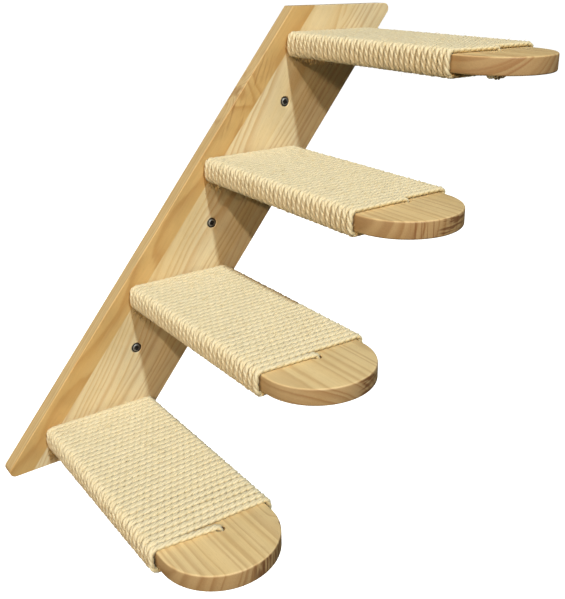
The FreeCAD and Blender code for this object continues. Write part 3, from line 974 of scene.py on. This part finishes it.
@dataclass
class WoundTread:
    """One tread: its plank, winding, knot, loose fibres and screws."""

    number: int
    finish: PineFinish
    groups: Groups
    rope: RopeSizes
    fray: Fray
    trees: dict[str, bpy.types.NodeTree]
    materials: dict[Stuff, bpy.types.Material]
    fibre: bpy.types.Material
    # fibres of the frayed end, darkened with painted shade
    frayed: bpy.types.Material
    edge_round: float = 2.0 * MM
    tip_steps: int = 64
    hole_radius: float = 4.6 * MM
    hole_ease: float = 0.8 * MM
    hole_sides: int = 32

    def __post_init__(self) -> None:
        """Take the plank's place from its CAD node."""
        low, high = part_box(f"tread_{self.number}_board")
        self.half = (high.x - low.x) / 2
        self.thick = high.z - low.z
        self.face = high.y
        self.tip = low.y
        self.middle = Vector(((low.x + high.x) / 2, high.y, (low.z + high.z) / 2))

    def at(self, across: float, out: float, up: float) -> Vector:
        """A place from the tread's middle, the board's face and the plank's middle."""
        return self.middle + Vector((across, -out, up))

    def build(self) -> None:
        """Make every piece of the tread."""
        self.plank()
        winding = self.winding()
        self.fibres(winding)
        self.frayed_start()
        self.knot()
        self.screws()

    def plank(self) -> bpy.types.Object:
        """The plank, with rounded edges, a half-round tip and the rope's hole."""
        shape = bmesh.new()
        outline = [self.at(self.half, 0.0, 0.0), self.at(-self.half, 0.0, 0.0)]
        shoulder = (self.face - self.tip) - self.half
        for step in range(self.tip_steps + 1):
            angle = math.pi * step / self.tip_steps
            outline.append(self.at(-self.half * math.cos(angle), shoulder + self.half * math.sin(angle), 0.0))
        corners = [shape.verts.new(place - Vector((0.0, 0.0, self.thick / 2))) for place in outline]
        base = shape.faces.new(corners)
        lifted = bmesh.ops.extrude_face_region(shape, geom=[base])["geom"]
        tops = [item for item in lifted if isinstance(item, bmesh.types.BMVert)]
        bmesh.ops.translate(shape, verts=tops, vec=(0.0, 0.0, self.thick))
        bmesh.ops.recalc_face_normals(shape, faces=shape.faces)
        level = [e for e in shape.edges if abs(e.verts[0].co.z - e.verts[1].co.z) < 1e-6]
        level = [e for e in level if not all(abs(v.co.y - self.face) < 1e-6 for v in e.verts)]
        bmesh.ops.bevel(
            shape, geom=level, offset=self.edge_round, segments=4, profile=0.5, affect="EDGES",
            clamp_overlap=True,
        )
        piece = Bench.drawn(f"tread_{self.number}_plank", shape)
        drill = self.drill()
        cut = piece.modifiers.new("rope hole", "BOOLEAN")
        cut.operation = "DIFFERENCE"
        cut.solver = "EXACT"
        cut.object = drill
        Bench.settled(piece)
        bpy.data.objects.remove(drill)
        piece.data.shade_smooth()
        piece.data.set_sharp_from_angle(angle=math.radians(32))
        piece.data.materials.clear()
        piece.data.materials.append(self.finish.build(self.groups))
        return Bench.finished(piece, Stuff.TREAD.value, f"tread_{self.number}_board")

    def drill(self) -> bpy.types.Object:
        """A round cutter where the rope goes down, with an eased mouth."""
        shape = bmesh.new()
        rings = []
        across, out, top = self.rope.hole_across, self.rope.hole, self.thick / 2
        eased, beyond = self.hole_radius + self.hole_ease, 1.0 * MM
        profile = (
            (eased + 0.2 * MM, top + beyond), (eased, top), (self.hole_radius, top - self.hole_ease),
            (self.hole_radius, -top - beyond),
        )
        sides = range(self.hole_sides)
        turns = [(math.cos(math.tau * i / len(sides)), math.sin(math.tau * i / len(sides))) for i in sides]
        for radius, height in profile:
            ring = [self.at(across + radius * x, out + radius * y, height) for x, y in turns]
            rings.append([shape.verts.new(place) for place in ring])
        for upper, lower in zip(rings, rings[1:]):
            for i in sides:
                j = (i + 1) % len(sides)
                shape.faces.new((upper[i], upper[j], lower[j], lower[i]))
        shape.faces.new(rings[0])
        shape.faces.new(rings[-1])
        bmesh.ops.recalc_face_normals(shape, faces=shape.faces)
        return Bench.drawn("drill", shape)

    def stations(self) -> list[tuple[float, float]]:
        """One turn round the plank from below its middle, as (across, up)."""
        rise = self.rope.seat_gap + self.rope.rise / 2
        flat, high = self.half - self.edge_round, self.thick / 2 + rise
        quarter = [(-flat * i / 5, -high) for i in range(6)]
        quarter += [(-flat - side, -up) for side, up in self.bowed_side()]
        left = quarter + [(across, -up) for across, up in reversed(quarter[:-1])]
        right = [(-across, up) for across, up in reversed(left)]
        return left + right[1:-1]

    def bowed_side(self) -> list[tuple[float, float]]:
        """Half of the rope's slack way round a side face, from below the edge to mid height."""
        rise = self.rope.seat_gap + self.rope.rise / 2
        wide, high = self.edge_round + rise + self.rope.side_bow, self.thick / 2 + rise
        power = self.rope.bow_power
        places = []
        for i in range(1, 7):
            angle = math.pi / 2 * i / 6
            places.append((wide * math.sin(angle) ** power, high * max(0.0, math.cos(angle)) ** power))
        return places

    def route(self) -> list[Vector]:
        """Centre line of the winding, from the board to below the rope's hole."""
        rope = self.rope
        ring = self.stations()
        steps = [math.dist(a, b) for a, b in zip(ring, ring[1:] + ring[:1])]
        around = sum(steps)
        shares = [sum(steps[:i]) / around for i in range(len(ring))]
        pitch = (rope.last - rope.first) / (rope.full_turns + 0.25)
        line = []
        quarter = len(ring) // 4 + 1
        for turn in range(rope.full_turns + 1):
            stop = len(ring) if turn < rope.full_turns else quarter
            spread = rope.fan * min(1.0, max(0.0, (turn - rope.full_turns + 1) / rope.fan_turns + 1))
            for share, (across, up) in list(zip(shares, ring))[:stop]:
                rightward = 2 * abs(share - 0.25) if share < 0.75 else 2 * (1.25 - share)
                out = rope.first + pitch * (turn + share) + spread * rightward
                sway = noise.noise(Vector((across * 28, turn * 0.45, self.number * 9.1)))
                lift = 0.5 + 0.5 * noise.noise(Vector((across * 40, turn * 1.7, self.number * 5.3 + 40)))
                swell = 1 + lift * rope.waver / (self.thick / 2 + rope.rise / 2)
                line.append(self.at(across, out + sway * rope.waver * 2, up * swell))
        return line + self.run_to_hole(line[-1])

    def run_to_hole(self, corner: Vector) -> list[Vector]:
        """The last half pass over the top and down through the hole."""
        rope = self.rope
        high = self.thick / 2 + rope.seat_gap + rope.rise / 2
        start_out = self.middle.y - corner.y
        edge = -(self.half - self.edge_round)
        side_out, top_out = start_out + 0.2 * MM, start_out + 0.3 * MM
        line = [self.at(edge - side, side_out, up) for side, up in reversed(self.bowed_side()[:-1])]
        mouth = rope.hole_across - rope.bend
        for i in range(9):
            share = i / 8
            out = top_out + (rope.hole - top_out) * share ** 1.15
            line.append(self.at(edge + (mouth - edge) * share, out, high))
        for i in range(1, 5):
            angle = math.pi / 2 * i / 4
            across = mouth + rope.bend * math.sin(angle)
            line.append(self.at(across, rope.hole, high - rope.bend + rope.bend * math.cos(angle)))
        line.append(self.at(rope.hole_across, rope.hole, 0.0))
        line.append(self.at(rope.hole_across, rope.hole, -self.thick / 2 - 2 * MM))
        return line

    def winding(self) -> bpy.types.Object:
        """The rope round the plank."""
        rope = self.rope
        base = Bench.holder(f"tread_{self.number}_winding", self.route())
        piece = Bench.grown(base, self.trees["lay"], {
            "Lay length": rope.lay_length, "Strand radius": rope.strand_radius,
            "Spread along": (rope.width - rope.between) / 2 - rope.strand_radius,
            "Spread out": rope.rise / 2 - rope.strand_radius, "Step": rope.step,
            "Unevenness": 0.1, "Seed": self.number, "Finish": self.materials[Stuff.ROPE],
        })
        return Bench.finished(piece, Stuff.ROPE.value, f"tread_{self.number}_rope")

    def fibres(self, winding: bpy.types.Object) -> bpy.types.Object:
        """Loose fibres that stand off the winding."""
        base = Bench.placed(f"tread_{self.number}_loose_fibres", winding.data.copy())
        piece = Bench.grown(base, self.trees["fibres"], {
            "Density": 11000.0, "Length": 6.5 * MM, "Thickness": 0.1 * MM, "Lift": 0.3, "Seed": self.number,
            "Finish": self.fibre,
        })
        return Bench.finished(piece, Stuff.ROPE.value)

    def frayed_start(self) -> bpy.types.Object:
        """The rope's frayed first end, which hangs below the plank by the board, its fibres darkened with
        painted shade.
        """
        fray = self.fray
        top = -self.thick / 2 - self.rope.rise * 0.7
        lines = []
        for i in range(fray.count):
            pick = Vector((i * 1.37, self.number * 3.1, 0.7))
            across = -self.half - 6 * MM + self.half * 0.6 * max(0.0, 0.3 + noise.noise(pick * 7.7))
            out = fray.at + fray.length * max(-0.5, min(0.5, 0.8 * noise.noise(pick * 5.1)))
            drop = 2.0 * MM + fray.drop * max(0.0, 0.4 + noise.noise(pick * 9.3))
            drift = 3.5 * MM * noise.noise(pick * 3.9)
            lines.append([
                self.at(across + drift * share ** 2, out + drift * share, top - drop * share)
                for share in (0.0, 0.35, 0.7, 1.0)
            ])
        base = Bench.holder(f"tread_{self.number}_frayed_start", *lines)
        piece = Bench.grown(base, self.trees["lay"], {
            "Strands": 1, "Spread along": 0.0, "Spread out": 0.0, "Strand radius": 0.2 * MM,
            "Step": 1.6 * MM, "Held": False, "Seed": self.number, "Finish": self.frayed,
        })
        return Bench.finished(piece, Stuff.ROPE.value)

    def knot(self) -> bpy.types.Object:
        """The overhand knot in the rope's end, drawn up below the hole."""
        middle, out, under = self.rope.hole_across, self.rope.hole, -self.thick / 2
        scale, drop, steps = 3.4 * MM, 5.8 * MM, 36
        line = [self.at(middle, out, under + 3 * MM), self.at(middle, out, under - 0.5 * MM)]
        for i in range(steps + 1):
            angle = 0.55 + 5.2 * i / steps
            over = scale * (math.sin(angle) + 2 * math.sin(2 * angle))
            away = scale * 0.8 * (math.cos(angle) - 2 * math.cos(2 * angle))
            up = -scale * 0.72 * math.sin(3 * angle)
            line.append(self.at(middle + over, out + away, under - drop + up))
        aim = (line[-1] - line[-3]).normalized()
        line += [line[-1] + aim * 4 * MM, line[-1] + aim * 9 * MM]
        base = Bench.holder(f"tread_{self.number}_tail_knot", line)
        piece = Bench.grown(base, self.trees["lay"], {
            "Lay length": 18 * MM, "Spread along": 1.35 * MM, "Spread out": 1.35 * MM,
            "Strand radius": 1.5 * MM, "Step": 1.6 * MM, "Held": False, "Seed": self.number + 20,
            "Finish": self.materials[Stuff.ROPE],
        })
        return Bench.finished(piece, Stuff.ROPE.value, f"tread_{self.number}_knot")

    def screws(self) -> bpy.types.Object:
        """The two screws that hold the plank from behind the board."""
        low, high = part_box(f"tread_{self.number}_screws")
        radius = 4.5 * MM
        places = [[Vector((x, high.y, (low.z + high.z) / 2))] for x in (low.x + radius, high.x - radius)]
        base = Bench.holder(f"tread_{self.number}_screw_pair", *places)
        piece = Bench.grown(base, self.trees["screws"], {
            "Head radius": radius, "Dome": 0.05 * MM, "Shank radius": 1.6 * MM, "Plain length": 17.7 * MM,
            "Thread radius": 2.25 * MM, "Thread length": 38 * MM, "Thread pitch": 2.2 * MM,
            "Point length": 4.5 * MM, "Recess span": 4.6 * MM, "Recess slot": 0.9 * MM,
            "Recess depth": 1.9 * MM, "Lean": math.pi / 2, "Seed": self.number,
            "Finish": self.materials[Stuff.ZINC],
        })
        piece.data.set_sharp_from_angle(angle=math.radians(30))
        return Bench.finished(piece, Stuff.ZINC.value, f"tread_{self.number}_screws")


@dataclass
class WallScrews:
    """The three dark screws that hold the board to the wall."""

    tree: bpy.types.NodeTree
    material: bpy.types.Material
    head_radius: float = 6.0 * MM
    rise: float = 136.0 * MM

    def build(self) -> bpy.types.Object:
        """Make the screws where their CAD node has them."""
        low, _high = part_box("wall_screws")
        places = [[Vector((self.rise * LEAN * i, low.y, self.rise * i))] for i in (-1, 0, 1)]
        base = Bench.holder("wall_screw_set", *places)
        piece = Bench.grown(base, self.tree, {
            "Head radius": self.head_radius, "Plain length": 17.7 * MM, "Seed": 7, "Finish": self.material,
        })
        piece.data.set_sharp_from_angle(angle=math.radians(30))
        return Bench.finished(piece, Stuff.BLACK.value, "wall_screws")


@dataclass(frozen=True)
class Lamp:
    """One round area light, with its size in metres and its power in watts."""

    name: str
    place: Triple
    size: float
    power: float
    tint: Colour

    def hang(self) -> None:
        """Add the light, faced to the part and hidden from the camera."""
        data = bpy.data.lights.new(self.name, "AREA")
        data.shape = "DISK"
        data.size = self.size
        data.energy = self.power
        data.color = self.tint
        light = bpy.data.objects.new(self.name, data)
        light.location = self.place
        aim = Vector((0.0, -0.15, 0.0)) - Vector(self.place)
        light.rotation_euler = aim.to_track_quat("-Z", "Y").to_euler()
        light.visible_camera = False
        bpy.context.scene.collection.objects.link(light)


@dataclass
class Studio:
    """Pale floor, soft lights and the camera."""

    floor_height: float = -1.3
    floor_size: float = 900.0
    floor_glow: float = 1.05
    fill_tint: Colour = (1.0, 0.72, 0.5)
    fill_strength: float = 0.026
    lamps: tuple[Lamp, ...] = (
        Lamp("High lamp", (-0.9, -7.1, 7.0), 0.45, 620.0, (0.95, 1.09, 1.11)),
        Lamp("Middle lamp", (-2.7, -3.94, 3.79), 0.22, 135.0, (1.0, 0.83, 0.65)),
        Lamp("Left lamp", (-4.37, -2.83, 2.68), 0.18, 112.0, (1.0, 0.73, 0.46)),
        Lamp("Side lamp", (-5.0, -0.65, 0.4), 0.5, 35.0, (1.0, 0.95, 0.8)),
        Lamp("Back lamp", (0.6, 5.0, -0.4), 0.8, 90.0, (1.0, 0.95, 0.85)),
        Lamp("Low lamp", (0.0, 0.1, -1.2), 0.5, 1.8, (1.0, 0.9, 0.75)),
    )
    eye: Triple = (-0.467955, -0.83976, 0.2915)
    azimuth: float = -38.02
    elevation: float = 21.67
    focal: float = 796.44
    centre: tuple[float, float] = (323.97, 283.65)

    def build(self) -> None:
        """Set the floor, the world, the lights and the camera."""
        self.floor()
        self.world()
        for lamp in self.lamps:
            lamp.hang()
        self.camera()
        bpy.context.scene.view_settings.view_transform = "Standard"

    def floor(self) -> None:
        """A plain pale floor, well below the part."""
        half = self.floor_size / 2
        mesh = bpy.data.meshes.new("floor")
        corners = [(x * half, y * half, self.floor_height) for x, y in ((-1, -1), (1, -1), (1, 1), (-1, 1))]
        mesh.from_pydata(corners, [], [(0, 1, 2, 3)])
        floor = Bench.placed("floor", mesh)
        _graph, shader, material = new_surface("Pale floor")
        shader["Base Color"].default_value = (0.9, 0.9, 0.9, 1.0)
        shader["Roughness"].default_value = 0.9
        shader["Emission Color"].default_value = (1.0, 1.0, 1.0, 1.0)
        shader["Emission Strength"].default_value = self.floor_glow
        mesh.materials.append(material)
        floor.visible_diffuse = False
        floor.visible_glossy = False

    def world(self) -> None:
        """Even, dim light from all round, behind a white backdrop."""
        world = bpy.data.worlds.new("Studio")
        world.use_nodes = True
        world.node_tree.nodes.clear()
        graph = Graph(world.node_tree)
        feeds = {"Color": (*self.fill_tint, 1.0), "Strength": self.fill_strength}
        fill = graph.add("ShaderNodeBackground", feeds).outputs[0]
        feeds = {"Color": (1.0, 1.0, 1.0, 1.0), "Strength": 1.0}
        paper = graph.add("ShaderNodeBackground", feeds).outputs[0]
        seen = graph.add("ShaderNodeLightPath").outputs["Is Camera Ray"]
        mixed = graph.add("ShaderNodeMixShader", {0: seen, 1: fill, 2: paper}).outputs[0]
        graph.add("ShaderNodeOutputWorld", {"Surface": mixed})
        bpy.context.scene.world = world

    def camera(self) -> None:
        """The camera at the photograph's place, with its framing."""
        data = bpy.data.cameras.new("camera")
        width, height = PHOTO_SIZE
        data.lens = self.focal * data.sensor_width / height
        data.shift_x = (width / 2 - self.centre[0]) / height
        data.shift_y = (self.centre[1] - height / 2) / height
        data.clip_end = 1000.0
        camera = bpy.data.objects.new("camera", data)
        around, above = math.radians(self.azimuth), math.radians(self.elevation)
        level = math.cos(above)
        back = Vector((math.sin(around) * level, -math.cos(around) * level, math.sin(above)))
        camera.location = self.eye
        camera.rotation_euler = back.to_track_quat("Z", "Y").to_euler()
        bpy.context.scene.collection.objects.link(camera)
        bpy.context.scene.camera = camera


def tread_finishes() -> list[PineFinish]:
    """The wood of the four treads, from the bottom up."""
    pale, honey = srgb(228, 206, 158), srgb(227, 203, 154)
    brown, red = srgb(158, 108, 58), srgb(170, 108, 62)
    treads = (
        {
            "pith": (0.0, 150.0, -50.0), "early": pale, "late": brown, "ring_width": 8.5,
            "heart_from": -4.0, "heart_scale": (0.02, 0.36, 0.03), "knot": (134.0, 55.0, -3.0, 4.5),
        },
        {
            "pith": (0.0, -70.0, -90.0), "early": pale, "late": brown, "ring_width": 7.0,
            "heart_from": 0.0, "heart_scale": (0.04, 0.05, 0.4),
        },
        {
            "pith": (0.0, -140.0, 24.0), "early": honey, "late": brown, "ring_width": 9.5,
            "heart_from": -16.0, "heart_scale": (0.03, 0.04, 0.34), "stripes": (-37.0, -14.0),
        },
        {
            "pith": (0.0, -110.0, 120.0), "early": honey, "late": red, "ring_width": 11.0,
            "heart_from": 30.0, "heart_scale": (0.03, 0.12, 0.12),
        },
    )
    finishes = []
    for number, looks in enumerate(treads, 1):
        low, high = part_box(f"tread_{number}_board")
        finishes.append(PineFinish(
            f"Pine tread {number}", (low + high) / 2, sway=3.0, contrast=0.36, seed=number + 10.0,
            # side faces darkened: painted shade, partly the darker sawn wood
            side_tint_and_painted_light=(0.66, 0.59, 0.55), outward=True, **looks,
        ))
    return finishes


def main() -> None:
    """Load the CAD frame, build every sub-assembly and finish."""
    logging.basicConfig(level=logging.INFO, format="%(message)s")
    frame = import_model()
    groups = Groups()
    trees = {"lay": rope_lay_tree(), "fibres": loose_fibre_tree(), "screws": wood_screw_tree()}
    materials = {
        Stuff.ROPE: SisalFinish().build(groups),
        Stuff.ZINC: SteelFinish("Zinc", srgb(176, 178, 172), srgb(214, 214, 206), 1.0, 0.3).build(groups),
        Stuff.BLACK: SteelFinish("Black steel", srgb(52, 49, 46), srgb(150, 149, 146), 0.55, 0.4).build(groups),
    }
    fibre = FibreFinish().build(groups)
    # The frayed end's fibres are a darker copy of the loose fibres: painted shade, for the shadow under the
    # plank.
    frayed = FibreFinish("Frayed sisal end", srgb(196, 164, 106), srgb(84, 58, 32)).build(groups)
    BackBoard(frame, groups).dress()
    ropes = (
        RopeSizes(last=262.8 * MM, fan=6.0 * MM),
        RopeSizes(last=266.5 * MM, fan=2.5 * MM),
        RopeSizes(last=270.0 * MM, fan=0.0, hole=270.0 * MM, hole_across=8.0 * MM),
        RopeSizes(),
    )
    frays = (
        Fray(11.0 * MM, 18.0 * MM, 12.0 * MM), Fray(26.0 * MM, 40.0 * MM, 7.0 * MM),
        Fray(24.0 * MM, 40.0 * MM, 7.0 * MM), Fray(48.0 * MM, 56.0 * MM, 6.0 * MM),
    )
    for number, (finish, rope, fray) in enumerate(zip(tread_finishes(), ropes, frays), 1):
        WoundTread(number, finish, groups, rope, fray, trees, materials, fibre, frayed).build()
    WallScrews(trees["screws"], materials[Stuff.BLACK]).build()
    Studio().build()


if __name__ == "__main__":
    main()
